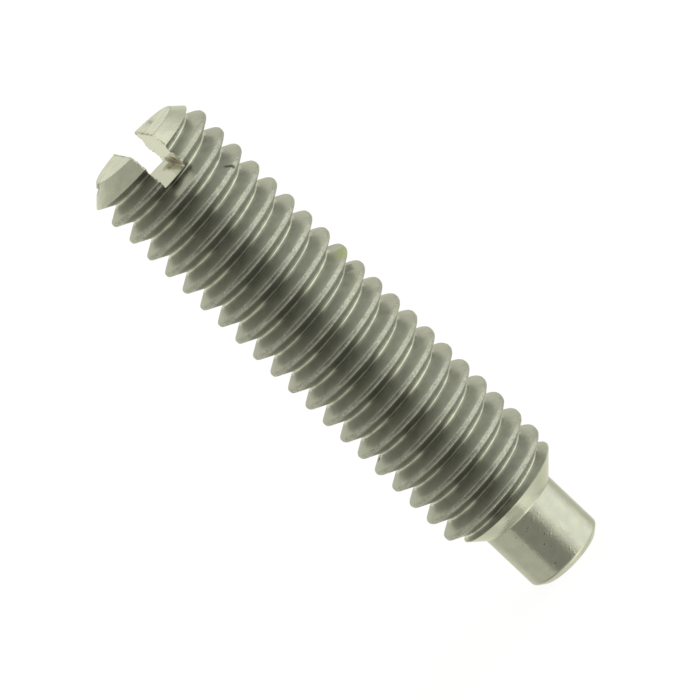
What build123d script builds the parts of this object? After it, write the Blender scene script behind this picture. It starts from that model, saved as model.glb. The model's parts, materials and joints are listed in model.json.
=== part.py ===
"""Slotted grub set screw with a long dog point, M6 x 25: one piece, threaded, turned to a point and slotted.

Millimetres. The axis is +Z and the origin is the middle of the dog point's end face, so the screw stands on
its point with the screwdriver slot at the top. The slot runs along Y.
"""

import math
import os

from build123d import *

# Driving dimensions of the turned outline
overall_length = 25.0
major_diameter = 5.85
dog_diameter = 3.7
dog_length = 3.0
dog_chamfer = 0.36
slot_end_chamfer = 0.78
shoulder_angle = 45.0

# Driving dimensions of the right-hand metric thread, with shares of the pitch
thread_pitch = 1.0
thread_angle = 60.0
thread_depth_share = 0.6
crest_flat_share = 0.13
root_blend_share = 0.28
crest_phase_share = 0.835

# Driving dimensions of the screwdriver slot
slot_width = 1.22
slot_depth = 1.78

# How far a cutting tool reaches past the surface that it cuts
overrun = 0.2

major_radius = major_diameter / 2
dog_radius = dog_diameter / 2
clear_radius = major_radius + overrun
shoulder_rise = (clear_radius - dog_radius) / math.tan(math.radians(shoulder_angle))

root_radius = major_radius - thread_depth_share * thread_pitch
foot_radius = root_radius + root_blend_share * thread_pitch
flank_width = (major_radius - foot_radius) * math.tan(math.radians(thread_angle / 2))
crest_edge = crest_flat_share * thread_pitch / 2
foot_edge = crest_edge + flank_width

# One pitch of the thread as radius and height from the middle of a crest: the crest's flat, a straight flank,
# the rounded root drawn as a shallow V, and the flank of the next crest
thread_profile = [
    (major_radius, -crest_edge),
    (major_radius, crest_edge),
    (foot_radius, foot_edge),
    (root_radius, thread_pitch / 2),
    (foot_radius, thread_pitch - foot_edge),
    (major_radius, thread_pitch - crest_edge),
]

# The threaded bar starts more than a turn below the point and ends more than a turn above the slot
first_crest = (crest_phase_share - 2) * thread_pitch
bar_turns = math.ceil((overall_length - first_crest) / thread_pitch) + 1


def helix_turn(radius, height):
    """One right-hand turn of a helix at a radius, which starts over the positive X axis at a height."""
    with BuildLine() as turn:
        Helix(pitch=thread_pitch, height=thread_pitch, radius=radius, center=(0, 0, height))
    return turn.line.edge()


def thread_strips(crest_height):
    """The ruled faces of one turn of thread, each between two helices of the profile."""
    helices = [helix_turn(radius, crest_height + rise) for radius, rise in thread_profile]
    return [Face.make_surface_from_curves(low, high) for low, high in zip(helices, helices[1:])]


def bar_end(crest_height):
    """The two faces that close the bar: a ramp one pitch high round the axis, and the step beside it."""
    ramp_start = crest_height - crest_edge
    with BuildLine() as axis_line:
        Line((0, 0, ramp_start), (0, 0, ramp_start + thread_pitch))
    ramp = Face.make_surface_from_curves(axis_line.line.edge(), helix_turn(major_radius, ramp_start))
    with BuildSketch(Plane.XZ) as step:
        with BuildLine():
            Polyline(
                (0, ramp_start),
                *[(radius, crest_height + rise) for radius, rise in thread_profile],
                (0, ramp_start + thread_pitch),
                close=True,
            )
        make_face()
    return [ramp, step.sketch.face()]


bar_faces = bar_end(first_crest) + bar_end(first_crest + bar_turns * thread_pitch)
for turn_number in range(bar_turns):
    bar_faces += thread_strips(first_crest + turn_number * thread_pitch)

with BuildPart() as screw:
    # The bar, threaded from end to end
    add(Solid(Shell(bar_faces)))

    # Turned down to the dog point, its conical shoulder and the chamfered slot end
    with BuildSketch(Plane.YZ):
        with BuildLine():
            Polyline(
                (0, 0),
                (dog_radius - dog_chamfer, 0),
                (dog_radius, dog_chamfer),
                (dog_radius, dog_length),
                (clear_radius, dog_length + shoulder_rise),
                (clear_radius, overall_length - slot_end_chamfer - overrun),
                (major_radius - slot_end_chamfer, overall_length),
                (0, overall_length),
                close=True,
            )
        make_face()
    revolve(axis=Axis.Z, mode=Mode.INTERSECT)

    # The screwdriver slot, sawn across the end along Y
    with BuildSketch(Plane.XY.offset(overall_length)):
        Rectangle(slot_width, 2 * clear_radius)
    extrude(amount=-slot_depth, mode=Mode.SUBTRACT)

screw.part.label = "set_screw"

os.makedirs("parts", exist_ok=True)
export_step(screw.part, "parts/set_screw.step")
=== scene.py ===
# %% [markdown]
# A slotted grub screw is made in three cuts: a bar is threaded, its ends are turned to shape, and a saw
# cuts the screwdriver slot. This lesson builds the same screw in the same order, so each cell stands for
# one machine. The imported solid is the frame: it gives the screw's place and its overall size.

# %% Load the frame
import json
import math

import bpy
import numpy as np
from mathutils import Matrix, Vector


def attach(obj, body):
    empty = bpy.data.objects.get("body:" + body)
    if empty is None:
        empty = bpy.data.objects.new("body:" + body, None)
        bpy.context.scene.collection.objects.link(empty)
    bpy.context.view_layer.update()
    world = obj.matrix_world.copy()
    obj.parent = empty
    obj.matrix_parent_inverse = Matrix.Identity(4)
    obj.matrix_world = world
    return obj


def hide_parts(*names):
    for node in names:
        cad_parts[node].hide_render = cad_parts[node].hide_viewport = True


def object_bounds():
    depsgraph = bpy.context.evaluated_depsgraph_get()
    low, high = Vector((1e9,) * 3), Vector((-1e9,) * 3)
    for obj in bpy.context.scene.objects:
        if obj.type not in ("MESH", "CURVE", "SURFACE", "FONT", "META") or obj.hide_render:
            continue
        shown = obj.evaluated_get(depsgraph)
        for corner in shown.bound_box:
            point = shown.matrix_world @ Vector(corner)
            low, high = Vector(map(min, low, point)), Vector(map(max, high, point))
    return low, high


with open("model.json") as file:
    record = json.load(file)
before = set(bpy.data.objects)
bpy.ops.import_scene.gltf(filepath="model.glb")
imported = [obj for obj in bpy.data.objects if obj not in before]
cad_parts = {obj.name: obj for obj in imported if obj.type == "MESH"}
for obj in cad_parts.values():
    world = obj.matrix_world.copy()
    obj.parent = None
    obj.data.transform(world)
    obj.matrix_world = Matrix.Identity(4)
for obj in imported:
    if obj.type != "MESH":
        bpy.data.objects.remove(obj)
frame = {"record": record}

cad_low, cad_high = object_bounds()
METRES_PER_MM = 0.001
length = cad_high.z / METRES_PER_MM
crest_radius = max(cad_high.x, cad_high.y) / METRES_PER_MM
mounts = {mount["name"]: mount for mount in frame["record"]["mounts"]}
dog_radius = mounts["dog_point"]["dims"]["r_mm"]
slot_floor = mounts["driver_slot"]["pos_m"][2] / METRES_PER_MM
print(f"screw {length:.2f} mm long, {crest_radius:.3f} mm to the crests, {dog_radius:.2f} mm at the point")

# %% [markdown]
# The camera comes first, because it decides which details are worth making. A long lens far away flattens
# the view as in a catalogue picture. The screw stands upright in its own frame and lies across the picture
# from upper left to lower right, so the camera is rolled about its own line of sight.

# %% Place the camera
camera_azimuth = math.radians(-95.5)
camera_elevation = math.radians(11.5)
camera_roll = math.radians(-46.6)
camera_distance = 244.0
pixels_per_mm = 24.49
aim_height = 12.683
SENSOR = 36.0
PICTURE_PIXELS = 700

towards_camera = Vector((math.cos(camera_azimuth), math.sin(camera_azimuth), 0.0))
picture_side = Vector((0.0, 0.0, 1.0)).cross(towards_camera)
back = towards_camera * math.cos(camera_elevation) + Vector((0.0, 0.0, math.sin(camera_elevation)))
level_up = back.cross(picture_side)
right = picture_side * math.cos(camera_roll) + level_up * math.sin(camera_roll)
up = level_up * math.cos(camera_roll) - picture_side * math.sin(camera_roll)

camera_data = bpy.data.cameras.new("catalogue_camera")
camera_data.sensor_width = SENSOR
camera_data.lens = pixels_per_mm * camera_distance / PICTURE_PIXELS * SENSOR
camera_data.clip_start = 0.01
camera_data.clip_end = 20.0
camera = bpy.data.objects.new("catalogue_camera", camera_data)
bpy.context.scene.collection.objects.link(camera)
place = Vector((0.0, 0.0, aim_height)) + back * camera_distance
aim = Matrix((right, up, back)).transposed().to_4x4()
camera.matrix_world = Matrix.Translation(place * METRES_PER_MM) @ aim
bpy.context.scene.camera = camera
print(f"lens {camera_data.lens:.0f} mm, camera {camera_distance:.0f} mm from the screw")

# %% [markdown]
# The thread is one profile carried along a helix. Half a pitch of the profile is a flat crest, a small
# rounded corner, a straight flank and half of a rounded root. A rounded corner is what gives the thin
# bright lines along a real thread, because somewhere on its bend it mirrors the brightest light in the
# room.

# %% Draw one pitch of the thread
pitch = 1.0
thread_depth = 0.65
crest_flat = 0.06
crest_corner = 0.1
flank_turn = math.radians(60.0)
crest_height_at_x = 0.835

flank_climb = math.tan(flank_turn)
root_corner = (pitch - crest_flat) / 2 * flank_climb - thread_depth - crest_corner


def half_pitch_profile(corner_steps=4, flank_steps=3):
    """Offset along the axis and radius, from the middle of a crest to the middle of a root.

    The crest's corner and the root are arcs that turn by the flank's angle, and the flank is the straight
    line between their ends.
    """
    turn = np.linspace(0.0, flank_turn, corner_steps + 1)
    crest_offset = crest_flat / 2 + crest_corner * np.sin(turn)
    crest_r = crest_radius - crest_corner * (1 - np.cos(turn))
    root_offset = pitch / 2 - root_corner * np.sin(turn[::-1])
    root_r = crest_radius - thread_depth + root_corner * (1 - np.cos(turn[::-1]))
    share = np.linspace(0.0, 1.0, flank_steps + 1)[1:-1]
    flank_offset = crest_offset[-1] + share * (root_offset[0] - crest_offset[-1])
    flank_r = crest_r[-1] + share * (root_r[0] - crest_r[-1])
    offset = np.concatenate([[0.0], crest_offset, flank_offset, root_offset])
    radius = np.concatenate([[crest_radius], crest_r, flank_r, root_r])
    return offset, radius


half_offset, half_radius = half_pitch_profile()
pitch_offset = np.concatenate([half_offset, (pitch - half_offset[::-1])[1:-1]])
pitch_radius = np.concatenate([half_radius, half_radius[::-1][1:-1]])
print(f"{len(pitch_offset)} rows in one pitch, root rounded to {root_corner:.3f} mm")

# %% [markdown]
# The bar is a grid with one row for each point of the profile, turn after turn, and one column for each
# step round the axis. Every row climbs by one pitch in a full turn, so the last column joins the first one
# a whole pitch higher up. A fan from a point on the axis closes each end.

# %% Thread the bar
COLUMNS = 144
overrun = 0.5


def mesh_object(name, vertices, face_groups):
    """A new object in the scene from an array of points and arrays of faces."""
    mesh = bpy.data.meshes.new(name)
    mesh.from_pydata(vertices, [], [face for group in face_groups for face in group.tolist()])
    mesh.update()
    made = bpy.data.objects.new(name, mesh)
    bpy.context.scene.collection.objects.link(made)
    return made


def quads(index):
    """The four corners of each cell of a grid of vertex numbers, anticlockwise from outside."""
    corners = [index[:-1, :-1], index[:-1, 1:], index[1:, 1:], index[1:, :-1]]
    return np.stack(corners, axis=-1).reshape(-1, 4)


def fan(tip, rim):
    """Triangles from a tip to each step of a closed rim of vertex numbers."""
    return np.stack([np.full(len(rim), tip), rim, np.roll(rim, -1)], axis=-1)


def threaded_bar():
    """The bar with its thread, closed at both ends.

    Point (row, column) has the profile's radius, is turned by the column's angle, and is as high as the
    row's offset plus the pitch times the column's share of a full turn.
    """
    turns = math.ceil((length + 2 * overrun) / pitch) + 2
    first_crest = crest_height_at_x - (math.ceil(overrun / pitch) + 1) * pitch
    per_pitch = len(pitch_offset)
    row_height = (first_crest + pitch * np.arange(turns)[:, None] + pitch_offset).ravel()
    row_radius = np.tile(pitch_radius, turns)
    angle = np.linspace(0.0, 2 * math.pi, COLUMNS, endpoint=False)
    height = row_height[:, None] + pitch * angle / (2 * math.pi)
    ring = np.stack([np.cos(angle), np.sin(angle)], axis=-1)
    grid = np.concatenate([row_radius[:, None, None] * ring, height[..., None]], axis=-1).reshape(-1, 3)
    tips = np.array([[0.0, 0.0, height.min() - overrun], [0.0, 0.0, height.max() + overrun]])

    index = np.arange(len(grid)).reshape(-1, COLUMNS)
    seam = quads(np.stack([index[:-per_pitch, -1], index[per_pitch:, 0]], axis=-1))
    low_rim = np.concatenate([index[0], index[per_pitch:0:-1, 0]])
    high_rim = np.concatenate([index[-1], index[-2:-2 - per_pitch:-1, -1]])
    ends = [fan(len(grid), low_rim[::-1]), fan(len(grid) + 1, high_rim)]
    return mesh_object("set_screw_steel", np.concatenate([grid, tips]), [quads(index), seam, *ends])


screw = threaded_bar()
print(f"threaded bar with {len(screw.data.polygons)} faces")

# %% [markdown]
# A cutting tool never leaves a perfect edge, so each corner of a turned or sawn outline gets a small arc. A
# Bevel modifier could round the finished mesh, but an arc in the outline keeps its exact size. Lines of up
# to a few millimetres are divided too, so that the mesh has enough points to take the wear.

# %% Round and divide an outline
edge_round = 0.05
point_round = 0.2


def rounded(points, radii, steps=5):
    """A polyline with arcs in place of its inner corners.

    Each arc leaves one line and meets the next at the radius times the tangent of half the corner's turn,
    and its middle lies on the corner's bisector.
    """
    points = np.asarray(points, float)
    line = [points[:1]]
    for before, corner, after, radius in zip(points, points[1:], points[2:], radii):
        into = (corner - before) / np.linalg.norm(corner - before)
        out = (after - corner) / np.linalg.norm(after - corner)
        turn = math.atan2(into[0] * out[1] - into[1] * out[0], into @ out)
        leave = corner - into * radius * math.tan(abs(turn) / 2)
        inward = np.array([-into[1], into[0]]) * math.copysign(1.0, turn)
        swing = np.linspace(0.0, abs(turn), steps + 1)[:, None]
        line.append(leave + radius * (np.sin(swing) * into + (1 - np.cos(swing)) * inward))
    return np.concatenate([*line, points[-1:]])


def split(line, step=0.15, longest=4.0):
    """A polyline with extra points, evenly spaced, on each side between a step and the longest in length."""
    sides = np.linalg.norm(np.diff(line, axis=0), axis=1)
    counts = np.where(sides < longest, np.ceil(sides / step), 1).astype(int)
    ends = zip(line, line[1:], counts)
    spans = [np.linspace(first, last, count, endpoint=False) for first, last, count in ends]
    return np.concatenate([*spans, line[-1:]])


print(f"corners rounded to {edge_round} mm, and to {point_round} mm at the point")

# %% [markdown]
# The ends are turned on a lathe. The outline is a line of radius and height, and spinning it about the axis
# gives a solid that is wider than the thread in the middle. So keeping only what lies inside it shapes the
# point, the shoulder and the chamfer, and the thread runs out at them as it does under a real tool.

# %% Turn the ends
dog_length = 3.05
dog_chamfer = 0.36
chamfer_height = 0.3
slot_end_chamfer = 0.78
clear_radius = crest_radius + overrun


def spun(name, outline):
    """A closed solid from an outline that starts and ends on the axis, where fans close it.

    Point (row, column) is the outline's radius and height, turned by the column's angle.
    """
    angle = np.linspace(0.0, 2 * math.pi, COLUMNS, endpoint=False) + math.pi / COLUMNS
    ring = np.stack([np.cos(angle), np.sin(angle)], axis=-1)
    wall = outline[1:-1]
    height = np.broadcast_to(wall[:, 1, None, None], (len(wall), COLUMNS, 1))
    grid = np.concatenate([wall[:, 0, None, None] * ring, height], axis=-1).reshape(-1, 3)
    tips = np.array([[0.0, 0.0, outline[0, 1]], [0.0, 0.0, outline[-1, 1]]])
    index = np.arange(len(grid)).reshape(-1, COLUMNS)
    around = np.concatenate([index, index[:, :1]], axis=1)
    ends = [fan(len(grid), index[0, ::-1]), fan(len(grid) + 1, index[-1])]
    return mesh_object(name, np.concatenate([grid, tips]), [quads(around), *ends])


end_radius = crest_radius - slot_end_chamfer
outline_points = [
    (0.0, 0.0),
    (dog_radius - dog_chamfer, 0.0),
    (dog_radius, chamfer_height),
    (dog_radius, dog_length),
    (clear_radius, dog_length + clear_radius - dog_radius),
    (clear_radius, length - slot_end_chamfer - overrun),
    (end_radius, length),
    (0.0, length),
]
outline_radii = [point_round, point_round, edge_round, edge_round, edge_round, edge_round]
turned = spun("turned_outline", split(rounded(outline_points, outline_radii)))
print(f"turned outline with {len(turned.data.polygons)} faces")

# %% [markdown]
# The slot is one pass of a slitting saw. Its section has a flat floor with slightly rounded corners, and
# the section is carried across the end in small steps. Two slow waves push the walls a few thousandths of a
# millimetre in and out, as the flutter of a thin saw does.

# %% Saw the slot
slot_width = 1.22
SAW_STEPS = 90
saw_waver = 0.003
saw_flutter = [(1.0, 5.3, 0.7), (0.6, 13.1, 2.1)]


def slitting_saw():
    """The space that the saw passes through.

    Point (step, corner) is a corner of the section, moved along Y by the step and sideways by the waver, a
    sum of sines with a share, a rate and a start each.
    """
    half = slot_width / 2
    high = length + overrun
    corners = [(-half, high), (-half, slot_floor), (half, slot_floor), (half, high)]
    section = split(rounded(corners, [edge_round, edge_round]))
    step = np.linspace(-clear_radius, clear_radius, SAW_STEPS)
    flutter = sum(share * np.sin(rate * step + begin) for share, rate, begin in saw_flutter)
    waver = saw_waver * flutter
    side = np.sign(section[:, 0])
    across = section[:, 0] + waver[:, None] * side
    along = np.broadcast_to(step[:, None], across.shape)
    height = np.broadcast_to(section[:, 1], across.shape)
    grid = np.stack([across, along, height], axis=-1).reshape(-1, 3)
    index = np.arange(len(grid)).reshape(SAW_STEPS, -1)
    around = np.concatenate([index, index[:, :1]], axis=1)
    return mesh_object("slitting_saw", grid, [quads(around)[:, ::-1], index[:1, :], index[-1:, ::-1]])


saw = slitting_saw()
print(f"saw pass with {len(saw.data.polygons)} faces")

# %% [markdown]
# Blender's Boolean modifier does the cutting: what lies outside the turned outline goes, then what the saw
# reaches. The thread could be trimmed point by point, but a cut gives its run-out for nothing. The result
# is kept as a plain mesh, because the next steps move its points.

# %% Cut the screw


def cut(piece, operation, tool):
    """Adds one cut to a piece, as a Boolean modifier with a closed tool."""
    modifier = piece.modifiers.new(tool.name, "BOOLEAN")
    modifier.operation = operation
    modifier.solver = "MANIFOLD"
    modifier.object = tool


cut(screw, "INTERSECT", turned)
cut(screw, "DIFFERENCE", saw)
cut_screw = screw.evaluated_get(bpy.context.evaluated_depsgraph_get())
cut_mesh = bpy.data.meshes.new_from_object(cut_screw)
screw.modifiers.clear()
screw.data = cut_mesh
for tool in (turned, saw):
    bpy.data.objects.remove(tool)
cut_mesh.calc_loop_triangles()
print(f"cut screw with {len(cut_mesh.loop_triangles)} triangles")

# %% [markdown]
# A used screw is never as clean as its drawing. Three knocks have left dark nicks, one has flattened a
# crest and one has dented the end. A knock is a short line with a reach and a push: points on the line move
# by the whole push, and points a reach away stay. Sculpting could do it by hand, but a list of lines gives
# the same dents each time.

# %% Place the knocks
nicks = [
    {"from": (-2.2, -0.2, 24.92), "to": (-2.3, 0.0, 24.82), "reach": 0.17, "push": (0.08, 0.01, -0.08)},
    {"from": (1.76, -1.96, 21.89), "to": (1.92, -2.16, 21.73), "reach": 0.15, "push": (-0.04, 0.05, -0.05)},
    {"from": (-2.3, 0.0, 8.84), "to": (-2.45, 0.12, 8.7), "reach": 0.18, "push": (0.05, 0.0, 0.0)},
]
crest_dent = {"from": (2.5, -0.4, 16.1), "to": (2.5, 0.3, 16.1), "reach": 0.4, "push": (-0.09, 0.0, -0.05)}
end_dent = {"from": (1.22, 0.4, 25.0), "to": (1.26, 1.3, 25.0), "reach": 0.2, "push": (0.0, 0.0, -0.04)}
knocks = [*nicks, crest_dent, end_dent]
print(f"{len(knocks)} knocks, {len(nicks)} of them dark nicks")

# %% [markdown]
# The sawn edges are ragged as well, and the thread is a little uneven. A bump in the material could draw
# all this, but moved points show in the outline too, and hundredths of a millimetre are enough. The worn
# points are scaled from millimetres to metres, and the mesh is shaded smooth except at real edges.

# %% Wear the screw
edge_angle = math.radians(32.0)
uneven = 0.006
uneven_size = 0.35
uneven_seed = 1
ragged = 0.012
ragged_size = 0.09
ragged_seeds = (2, 3, 4)


def waves(points, size, seed, count=24):
    """A smooth random value at each point: a sum of plane waves in random directions, about a size apart."""
    random = np.random.default_rng(seed)
    pull = random.normal(size=(3, count)) * math.pi / size
    begin = random.uniform(0.0, 2 * math.pi, count)
    return np.sin(points @ pull + begin).sum(axis=1) / math.sqrt(count)


def worn(points, edges, sharp):
    """Points moved by wear: knocks push them in, the thread moves in and out, and sawn edges move any way.

    A knock's push falls with the distance from its line, as the square of one minus the square of the
    distance over the reach.
    """
    radius = np.hypot(points[:, 0], points[:, 1])
    outward = points[:, :2] / np.maximum(radius, dog_radius)[:, None]
    threaded = np.clip((radius - dog_radius) / (crest_radius - dog_radius), 0.0, 1.0)
    moved = points.copy()
    moved[:, :2] += outward * (uneven * threaded * waves(points, uneven_size, uneven_seed))[:, None]
    for knock in knocks:
        first = np.array(knock["from"])
        run = np.array(knock["to"]) - first
        share = np.clip((points - first) @ run / (run @ run), 0.0, 1.0)
        away = np.linalg.norm(points - first - share[:, None] * run, axis=1) / knock["reach"]
        moved += np.clip(1 - away**2, 0.0, 1.0)[:, None] ** 2 * knock["push"]
    by_saw = np.abs(np.abs(points[:, 0]) - slot_width / 2) < edge_round / 2
    by_saw &= points[:, 2] > slot_floor + edge_round + saw_waver
    rim = np.unique(edges[sharp & by_saw[edges].all(axis=1)])
    jitter = [waves(points[rim], ragged_size, seed) for seed in ragged_seeds]
    moved[rim] += ragged * np.stack(jitter, axis=1)
    return moved


cut_mesh.shade_smooth()
cut_mesh.set_sharp_from_angle(angle=edge_angle)
points = np.empty(len(cut_mesh.vertices) * 3)
cut_mesh.vertices.foreach_get("co", points)
edges = np.empty(len(cut_mesh.edges) * 2, dtype=int)
cut_mesh.edges.foreach_get("vertices", edges)
sharp = np.empty(len(cut_mesh.edges), dtype=bool)
cut_mesh.edges.foreach_get("use_edge_sharp", sharp)
worn_points = worn(points.reshape(-1, 3), edges.reshape(-1, 2), sharp) * METRES_PER_MM
cut_mesh.vertices.foreach_set("co", worn_points.ravel())
cut_mesh.update()
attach(screw, "root")
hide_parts("set_screw")
print(f"knocks, uneven thread and ragged slot on {len(worn_points)} points")

# %% [markdown]
# Shaders read better as sums than as lists of links. A Wire holds one output socket of a node, and adding
# or multiplying Wires adds the Math nodes. Every other node comes from its node method.

# %% Write shader maths as Python


class Wire:
    """One output socket of a node tree, which can be used in sums like a number."""

    def __init__(self, tree, socket=None):
        self.tree = tree
        self.socket = socket

    def node(self, kind, settings, inputs, output=0):
        """Adds a node, sets its settings, gives its sockets values or links, and returns an output."""
        made = self.tree.nodes.new(kind)
        for name, value in settings.items():
            setattr(made, name, value)
        for name, value in inputs.items():
            if isinstance(value, Wire):
                self.tree.links.new(value.socket, made.inputs[name])
            else:
                made.inputs[name].default_value = value
        if made.outputs:
            return Wire(self.tree, made.outputs[output])

    def math(self, operation, *values):
        """A Math node on this wire and other wires or numbers."""
        return self.node("ShaderNodeMath", {"operation": operation}, dict(enumerate((self, *values))))

    def reversed_math(self, operation, value):
        """A Math node with a number first and this wire second."""
        return self.node("ShaderNodeMath", {"operation": operation}, {0: value, 1: self})

    def __add__(self, other):
        return self.math("ADD", other)

    def __sub__(self, other):
        return self.math("SUBTRACT", other)

    def __rsub__(self, other):
        return self.reversed_math("SUBTRACT", other)

    def __mul__(self, other):
        return self.math("MULTIPLY", other)

    __radd__ = __add__
    __rmul__ = __mul__

    def rise(self, low, high):
        """0 below low, 1 above high, and a smooth climb between them."""
        settings = {"interpolation_type": "SMOOTHSTEP"}
        inputs = {"Value": self, "From Min": low, "From Max": high}
        return self.node("ShaderNodeMapRange", settings, inputs)

    def past(self, border, fade):
        """0 before a border and 1 past it, with the climb between two distances past the border."""
        return self.rise(border + fade[0], border + fade[1])

    def mix(self, first, second):
        """A colour between two colours, with this wire as the factor.

        The Mix node takes its colours at sockets 6 and 7 and gives the mixed one at output 2.
        """
        return self.node("ShaderNodeMix", {"data_type": "RGBA"}, {0: self, 6: first, 7: second}, 2)


def shader_tree(owner):
    """The empty node tree of a material or world, and a Wire to start from."""
    owner.use_nodes = True
    owner.node_tree.nodes.clear()
    return owner.node_tree, Wire(owner.node_tree)


print("shader maths ready")

# %% [markdown]
# The screw is bare steel, and bare metal has hardly any colour of its own: it shows the room, blurred as
# much as its surface is rough. So the finish is a matter of zones, each with its own blur. A painted map
# could hold them, but here they follow from the height, the radius and the distance to the slot, so they
# need no map, stay sharp from near, and move along when a size changes.

# %% Find the zones of the steel
# Where each zone starts and where it is full, in millimetres past its border
shoulder_fade = (0.03, 0.08)
chamfer_fade = (-0.08, -0.03)
wall_fade = (0.02, 0.06)
slot_fade = (-0.05, 0.0)
slot_floor_fade = (0.02, 0.08)
flank_fade = (0.05, 0.13)
root_fade = (0.01, 0.03)
crest_fade = (-0.12, -0.02)
cone_fade = (0.0, 0.1)
low_face_fade = (0.02, 0.06)
high_face_fade = (-0.06, -0.02)
CONE_SMOOTHING = 0.7

steel = bpy.data.materials.new("satin_steel")
tree, start = shader_tree(steel)
in_metres = start.node("ShaderNodeTexCoord", {}, {}, "Object")
to_mm = {0: in_metres, "Scale": 1 / METRES_PER_MM}
position = start.node("ShaderNodeVectorMath", {"operation": "SCALE"}, to_mm)
x, y, z = (start.node("ShaderNodeSeparateXYZ", {}, {0: position}, axis) for axis in "XYZ")
radius = (x * x + y * y).math("SQRT")
root_radius = crest_radius - thread_depth

above_shoulder = (z - radius).past(dog_length - dog_radius, shoulder_fade)
below_chamfer = 1 - (z + radius).past(length + end_radius, chamfer_fade)
from_wall = x.math("ABSOLUTE") - slot_width / 2
in_slot = (1 - from_wall.rise(*wall_fade)) * z.past(slot_floor, slot_fade)
on_slot_floor = 1 - z.past(slot_floor, slot_floor_fade)
thread = above_shoulder * below_chamfer * (1 - in_slot)
flank = thread * radius.past(root_radius, flank_fade)
root = thread * (1 - radius.past(root_radius, root_fade))
crest = thread * radius.past(crest_radius, crest_fade)
cone = z.past(dog_length, cone_fade) * (1 - above_shoulder)
turned_zone = (1 - thread) * (1 - in_slot) * (1 - cone * CONE_SMOOTHING)
faced_ends = 1 - z.rise(*low_face_fade) * (1 - z.past(length, high_face_fade))
print(f"zones of the steel from {len(tree.nodes)} nodes")

# %% [markdown]
# Up close no machined surface is even. Noise at a few sizes gives the mottled patches, the specks and the
# grain, and noise along the radius alone gives the fine rings that a facing cut leaves on the two ends.
# Photographs of steel could be laid over the screw instead, but noise has no seams and its sizes can be
# read here in millimetres.

# %% Add mottle, specks and rings
RINGS_PER_MM = 13
pit_levels = (0.6, 0.75)
patch_levels = (0.3, 0.7)


def noise(size, detail=2.0):
    """Random values from 0 to 1 in patches of about a size in millimetres."""
    inputs = {"Vector": position, "Scale": 1 / size, "Detail": detail}
    return start.node("ShaderNodeTexNoise", {}, inputs)


mottle = noise(size=0.5, detail=3.0)
speckle = noise(size=0.07)
grain = noise(size=0.035, detail=1.0)
ripple = noise(size=0.35)
dimples = noise(size=0.14)
pits = noise(size=0.2).rise(*pit_levels)
ring_noise = {"W": radius * RINGS_PER_MM, "Detail": 1.0}
rings = start.node("ShaderNodeTexNoise", {"noise_dimensions": "1D"}, ring_noise) * faced_ends
patches = mottle.rise(*patch_levels)
print(f"grain and rings, {len(tree.nodes)} nodes so far")

# %% [markdown]
# Use has left its marks. A brown stain with dark dots has dried in a corner of the slot, a film of oil sits
# on one crest, and the nicks are darkened. Three dark smudges are painted shade: by the slot, along a root
# and in the end face's dent. Each mark is a soft streak round a short line through the solid, so it stays on
# its spot from every side. Painting on the mesh would do too, but a line is two points that anyone can move.

# %% Draw a streak
SOFT_EDGE = 0.35
dot_half_length = 0.35


def streak(first, last, reach, ragged_share=1.0):
    """1 on the line between two points of the screw, falling to 0 about a reach away with a ragged edge.

    The nearest point of the line is found by the share of it that lies before the surface point, held
    between 0 and 1.
    """
    run = Vector(last) - Vector(first)
    ahead = start.node("ShaderNodeVectorMath", {"operation": "SUBTRACT"}, {0: position, 1: first})
    share = {0: ahead, 1: run / run.length_squared}
    share = start.node("ShaderNodeVectorMath", {"operation": "DOT_PRODUCT"}, share, "Value")
    share = share.math("MINIMUM", 1.0).math("MAXIMUM", 0.0)
    nearest = start.node("ShaderNodeVectorMath", {"operation": "SCALE"}, {0: run, "Scale": share})
    away = start.node("ShaderNodeVectorMath", {"operation": "DISTANCE"}, {0: ahead, 1: nearest}, "Value")
    return 1 - (away + (speckle + mottle - 1) * (ragged_share * reach)).rise(SOFT_EDGE * reach, reach)


def along_slot(at_x, at_y, at_z, reach):
    """A streak along Y round a point, which looks round where the slot's wall is seen at a slant."""
    return streak((at_x, at_y - dot_half_length, at_z), (at_x, at_y + dot_half_length, at_z), reach)


print(f"streaks are full within {SOFT_EDGE} of their reach")

# %% [markdown]
# Each mark is given by the two ends of its line and its reach in millimetres, and the oil by a smoother edge
# too. The darkened nicks take their lines from the nicks, and the painted shade lies by the slot, along a
# root and in the dent of the slot's end face.

# %% Mark stains, oil, dark nicks and painted shade
stain_line = ((0.61, -1.6, 23.5), (0.5, 1.2, 23.25), 0.42)
dots = [
    (0.38, 0.34, 23.22, 0.09),
    (0.56, 0.2, 23.23, 0.09),
    (0.61, -0.05, 23.37, 0.1),
    (0.61, -1.37, 23.58, 0.08),
]
oil_line = ((2.65, -0.95, 15.82), (2.45, -1.4, 15.82), 0.45, 0.4)
# Painted shade, as dark smudges: by the slot's near rim, along a root of the thread and in the end face's
# dent.
slot_painted_shade = ((0.64, -2.23, 23.14), (-0.2, -2.36, 22.97), 0.3)
root_painted_shade = ((2.45, -0.3, 15.28), (2.3, -0.9, 15.2), 0.26)
dent_painted_shade = (end_dent["from"], end_dent["to"], 0.16)
DENT_SHADE_SHARE = 0.6

stain = streak(*stain_line)
blots = sum(along_slot(*dot) for dot in dots).math("MINIMUM", 1.0)
oil = streak(*oil_line)
# The sum of the three smudges of painted shade.
painted_shade = streak(*slot_painted_shade) + streak(*root_painted_shade) + streak(*dent_painted_shade) * DENT_SHADE_SHARE
# The nicks are darkened along their lines.
nick_darkening = sum(streak(nick["from"], nick["to"], nick["reach"]) for nick in nicks).math("MINIMUM", 1.0)
print(f"{len(dots)} dots and other marks, {len(tree.nodes)} nodes so far")
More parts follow.
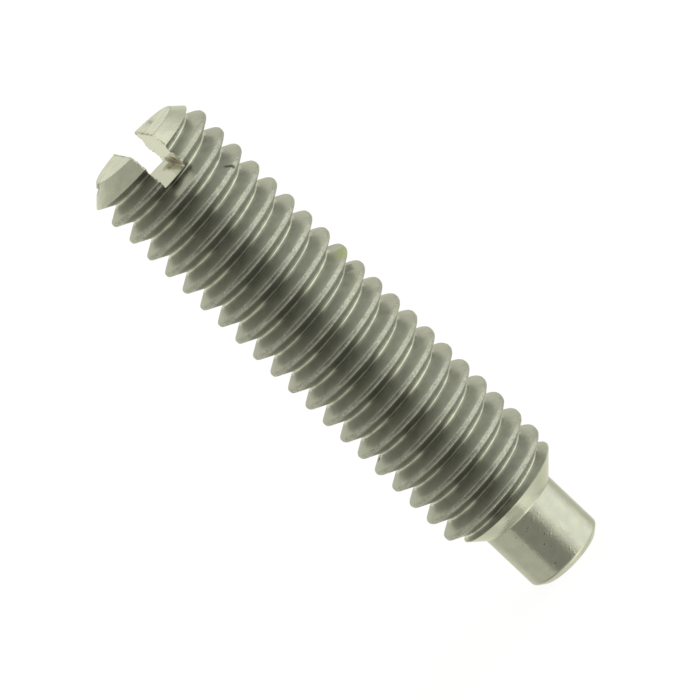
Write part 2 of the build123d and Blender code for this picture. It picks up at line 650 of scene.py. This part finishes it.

# %% [markdown]
# The saw has left a fine dark burr along the slot, heavier on one side. The crests carry dark flecks where
# they have rubbed and pale flecks of painted glint, and the root is burnished in patches, its paler colour
# partly a painted sheen. Each of these is a zone times a level of noise, so none of them needs a place of
# its own.

# %% Add burr, flecks, painted glints and a burnish with painted sheen
burr_start = (0.01, 0.03)
burr_end = (0.04, 0.09)
burr_foot = (0.0, 0.1)
burr_levels = (0.5, 0.62)
BURR_HEAVY, BURR_LIGHT = 0.8, 0.2
fleck_levels = (0.54, 0.66)
painted_glint_levels = (0.56, 0.7)
burnish_and_sheen_levels = (0.35, 0.65)
BURNISH_AND_SHEEN_LEAST = 0.35
# How dark the nicks, the painted shade and the crest flecks are.
NICK_DARKENING_SHARE, PAINTED_SHADE_SHARE, FLECK_SHARE = 0.85, 0.5, 0.3

burr_weight = BURR_HEAVY - x.rise(-slot_width, slot_width) * (BURR_HEAVY - BURR_LIGHT)
burr_strip = from_wall.rise(*burr_start) * (1 - from_wall.rise(*burr_end)) * z.past(slot_floor, burr_foot)
burr = burr_strip * speckle.rise(*burr_levels) * burr_weight
flecks = crest * speckle.rise(*fleck_levels)
# Painted glints: pale flecks on the crests that stand in for glints.
painted_glint = crest * noise(size=0.11).rise(*painted_glint_levels)
# Burnished root, whose paler colour is partly a painted sheen that brightens the root line.
burnish_and_sheen = root * (BURNISH_AND_SHEEN_LEAST + noise(size=0.6).rise(*burnish_and_sheen_levels) * (1 - BURNISH_AND_SHEEN_LEAST))
# The dark mix: burr, darkened nicks, crest flecks and painted shade.
grime_and_shade = burr + nick_darkening * NICK_DARKENING_SHARE + painted_shade * PAINTED_SHADE_SHARE + flecks * FLECK_SHARE
print(f"burr, flecks and burnish, {len(tree.nodes)} nodes so far")

# %% [markdown]
# The colours are those of plain steel with a warm tint: palest where the saw has cut and in the root, where
# a tool has burnished it and a painted sheen brightens it, and darkest on the flanks; the crests get pale
# painted glints. They are mixed from the metal outwards, first the zones and then the burr, the flecks, the
# darkened nicks and the painted shade, the oil and the stain that lie on it.

# %% Colour the steel
turned_colour = (0.575, 0.58, 0.545, 1.0)
turned_worn = (0.64, 0.64, 0.575, 1.0)
faced_colour = (0.55, 0.55, 0.51, 1.0)
cone_colour = (0.63, 0.63, 0.57, 1.0)
thread_colour = (0.45, 0.455, 0.43, 1.0)
thread_worn = (0.53, 0.535, 0.5, 1.0)
# Burnished root colour, paler than steel: partly a painted sheen.
burnished_root_and_sheen_colour = (0.77, 0.77, 0.7, 1.0)
# Colour of the painted glints on the crests.
painted_glint_colour = (0.72, 0.72, 0.65, 1.0)
sawn_colour = (0.66, 0.655, 0.58, 1.0)
slot_floor_colour = (0.54, 0.535, 0.47, 1.0)
# One dark colour for the burr, the flecks, the darkened nicks and the painted shade.
grime_and_shade_colour = (0.09, 0.085, 0.065, 1.0)
oil_colour = (0.49, 0.52, 0.32, 1.0)
stain_colour = (0.55, 0.5, 0.36, 1.0)
blot_colour = (0.27, 0.21, 0.12, 1.0)
FACED_SHARE = 0.7
PAINTED_GLINT_SHARE = 0.7

colour = thread.mix(patches.mix(turned_colour, turned_worn), patches.mix(thread_colour, thread_worn))
colour = (faced_ends * FACED_SHARE).mix(colour, faced_colour)
colour = cone.mix(colour, cone_colour)
# The root is paler: burnished steel, and partly a painted sheen.
colour = burnish_and_sheen.mix(colour, burnished_root_and_sheen_colour)
# Paint pale glints on the crests.
colour = (painted_glint * PAINTED_GLINT_SHARE).mix(colour, painted_glint_colour)
colour = in_slot.mix(colour, on_slot_floor.mix(sawn_colour, slot_floor_colour))
# Darken the burr, nicks and flecks, and paint the shade.
colour = grime_and_shade.math("MINIMUM", 1.0).mix(colour, grime_and_shade_colour)
colour = oil.mix(colour, oil_colour)
colour = stain.mix(colour, stain_colour)
colour = blots.mix(colour, blot_colour)
print(f"colours, {len(tree.nodes)} nodes so far")

# %% [markdown]
# Roughness decides how clearly each zone mirrors the room: the root is polished, the flanks are matt and
# the turned ends lie between. Stains and oil are films and not metal. Metal turns into a mirror at a slant
# and would swallow them there, so they lower Metallic.

# %% Roughen the steel
SMOOTH, FACED, MATT, POLISHED = 0.13, 0.27, 0.35, 0.05
NOISE_MIDDLE = 0.5
MOTTLE_ROUGH = 0.08
SPECKLE_ROUGH = 0.06
CREST_ROUGH = 0.3
MARK_ROUGH = 0.3
STAIN_FILM, OIL_FILM = 0.7, 0.6

roughness = SMOOTH + flank * (MATT - SMOOTH) - root * (SMOOTH - POLISHED) + faced_ends * (FACED - SMOOTH)
roughness = roughness + (mottle - NOISE_MIDDLE) * MOTTLE_ROUGH
roughness = roughness + (speckle - NOISE_MIDDLE) * (SPECKLE_ROUGH + crest * CREST_ROUGH)
roughness = roughness + (stain + oil + grime_and_shade) * MARK_ROUGH
film = (stain * STAIN_FILM + oil * OIL_FILM + blots).math("MINIMUM", 1.0)
print(f"roughness and films, {len(tree.nodes)} nodes so far")

# %% [markdown]
# The last layer is relief of a few thousandths of a millimetre: ripples, dimples and pits on the turned
# ends, rings on their faces, specks on the thread and a crust where the dots have dried. A bump is enough
# for that, and everything larger is in the mesh.

# %% Finish the steel
ripple_height = 0.006
dimple_height = 0.007
pit_height = 0.006
ring_height = 0.0006
grain_height = 0.0015
speck_height = 0.004
dot_height = 0.01

turned_relief = ripple * ripple_height + dimples * dimple_height + pits * pit_height
turned_relief = turned_relief + rings * ring_height + grain * grain_height
thread_relief = speckle * speck_height * thread * (1 - root)
relief = turned_relief * turned_zone + thread_relief + blots * dot_height
bump = start.node("ShaderNodeBump", {}, {"Height": relief, "Distance": METRES_PER_MM, "Strength": 1.0})
finish = {"Base Color": colour, "Metallic": 1 - film, "Roughness": roughness, "Normal": bump}
surface = start.node("ShaderNodeBsdfPrincipled", {}, finish)
start.node("ShaderNodeOutputMaterial", {}, {"Surface": surface})
screw.data.materials.clear()
screw.data.materials.append(steel)
print(f"steel with {len(tree.nodes)} nodes")

# %% [markdown]
# Metal shows its surroundings, so half of its look is the studio. Directions in it are given by two angles:
# the turn round the screw, from the camera towards the soft lamp, and the lift over the horizon. With them
# a panel of light is a soft-edged patch of the world. Lamps and cards could stand there as objects, but
# patches have no noise and cast no hard edges.

# %% Measure directions in the studio
world = bpy.data.worlds.new("studio")
bpy.context.scene.world = world
tree, start = shader_tree(world)
direction = start.node("ShaderNodeTexCoord", {}, {}, "Generated")


def along(axis):
    """How far the ray's direction points along an axis."""
    return start.node("ShaderNodeVectorMath", {"operation": "DOT_PRODUCT"}, {0: direction, 1: axis}, "Value")


swing = along(picture_side).math("ARCTAN2", along(towards_camera))
lift = along(Vector((0.0, 0.0, 1.0))).math("ARCSINE")


def around(centre, inner, outer):
    """1 within an inner angle of a direction round the screw and 0 past an outer one, in degrees."""
    turn = (swing - math.radians(centre)).math("WRAP", math.pi, -math.pi).math("ABSOLUTE")
    return 1 - turn.rise(math.radians(inner), math.radians(outer))


def between(low_start, low, high, high_end):
    """1 between two angles over the horizon, with a soft edge below and above, in degrees."""
    from_below = lift.rise(math.radians(low_start), math.radians(low))
    return from_below * (1 - lift.rise(math.radians(high), math.radians(high_end)))


print(f"directions from {len(tree.nodes)} nodes")

# %% [markdown]
# A soft lamp stands on one side, a pale card on the other, a lit table lies below and a pale backdrop is
# behind. The camera's own side is dark, and its reflection is the dark band along the screw. Walls are warm
# and lamps a little cooler. The camera itself sees white paper, and part of that paper shows in the metal
# where the backdrop stands.

# %% Light the studio
ROOM = 0.413
PAPER_SHARE = 0.4
ALL_ROUND = (0, 180, 181)
ALL_LIFTS = (-92, -91, 91, 92)
backdrop_side = (180, 15, 70)
wall_panels = {
    "backdrop": (0.23, backdrop_side, ALL_LIFTS),
    "card": (0.184, (-97, 39, 51), (-40, -25, 5, 25)),
    "ceiling": (0.122, ALL_ROUND, (20, 50, 91, 92)),
    "dark camera side": (-0.3, (-20, 30, 60), (-8, 5, 40, 65)),
    "dark camera": (-0.105, (-18, 25, 45), (-45, -30, 20, 30)),
    "gap by the backdrop": (-0.065, (138, 10, 28), (-35, -20, 10, 30)),
}
lamp_panels = {
    "soft lamp": (0.614, (75, 25, 75), ALL_LIFTS),
    "middle of the lamp": (0.108, (70, 20, 45), (-40, -25, 15, 40)),
    "table": (0.55, ALL_ROUND, (-92, -91, -88, -50)),
}
wall_tint = (0.99, 1.0, 0.8, 1.0)
lamp_tint = (0.97, 1.0, 0.87, 1.0)
white = (1.0, 1.0, 1.0, 1.0)


def panels(table):
    """The sum of a table's panels, each a level times its patch of turns and lifts."""
    return sum(level * around(*turns) * between(*lifts) for level, turns, lifts in table.values())


def ray_kinds():
    """Three values, 1 for a ray from the camera, off a shiny surface or through a clear one, and else 0."""
    kinds = ("Camera", "Glossy", "Transmission")
    return [start.node("ShaderNodeLightPath", {}, {}, f"Is {kind} Ray") for kind in kinds]


seen, mirrored, refracted = ray_kinds()
shows_paper = seen + mirrored.math("MAXIMUM", refracted) * around(*backdrop_side) * PAPER_SHARE
walls = start.node("ShaderNodeBackground", {}, {"Color": wall_tint, "Strength": ROOM + panels(wall_panels)})
lamps = start.node("ShaderNodeBackground", {}, {"Color": lamp_tint, "Strength": panels(lamp_panels)})
paper = start.node("ShaderNodeBackground", {}, {"Color": seen.mix(wall_tint, white), "Strength": 1.0})
studio = start.node("ShaderNodeAddShader", {}, {0: walls, 1: lamps})
studio = start.node("ShaderNodeMixShader", {}, {"Fac": shows_paper, 1: studio, 2: paper})
start.node("ShaderNodeOutputWorld", {}, {"Surface": studio})
print(f"studio with {len(wall_panels) + len(lamp_panels)} panels and {len(tree.nodes)} nodes")

# %% [markdown]
# The screw stands on white paper. For the camera the paper glows, so that it is as white as the page round
# a catalogue picture, and a matt share stays in it, so that the screw's shadow still falls there. The floor
# itself is left out of reflections and casts no shadow, because the lit table of the studio stands for it.

# %% Lay the floor
FLOOR_REACH = 1.0
GLOW_SHARE = 0.85
GLOW = 1.1
paper_grey = (0.9, 0.9, 0.9, 1.0)
corners = np.array([[-1.0, -1.0, 0.0], [1.0, -1.0, 0.0], [1.0, 1.0, 0.0], [-1.0, 1.0, 0.0]]) * FLOOR_REACH
floor = mesh_object("paper_floor", corners, [np.array([[0, 1, 2, 3]])])
paper_white = bpy.data.materials.new("paper_white")
tree, start = shader_tree(paper_white)
seen, mirrored, refracted = ray_kinds()
glows = seen.math("MAXIMUM", mirrored).math("MAXIMUM", refracted) * GLOW_SHARE
matt_paper = start.node("ShaderNodeBsdfDiffuse", {}, {"Color": paper_grey})
glow = start.node("ShaderNodeEmission", {}, {"Color": white, "Strength": GLOW})
blend = start.node("ShaderNodeMixShader", {}, {"Fac": glows, 1: matt_paper, 2: glow})
start.node("ShaderNodeOutputMaterial", {}, {"Surface": blend})
floor.data.materials.append(paper_white)
floor.visible_glossy = False
floor.visible_shadow = False
print(f"paper floor {2 * FLOOR_REACH:.0f} m wide")

# %% [markdown]
# The standard view shows colours as they are written. Wear moves the box of the finished screw by hundredths
# of a millimetre, no more.

# %% Finish
bpy.context.scene.view_settings.view_transform = "Standard"
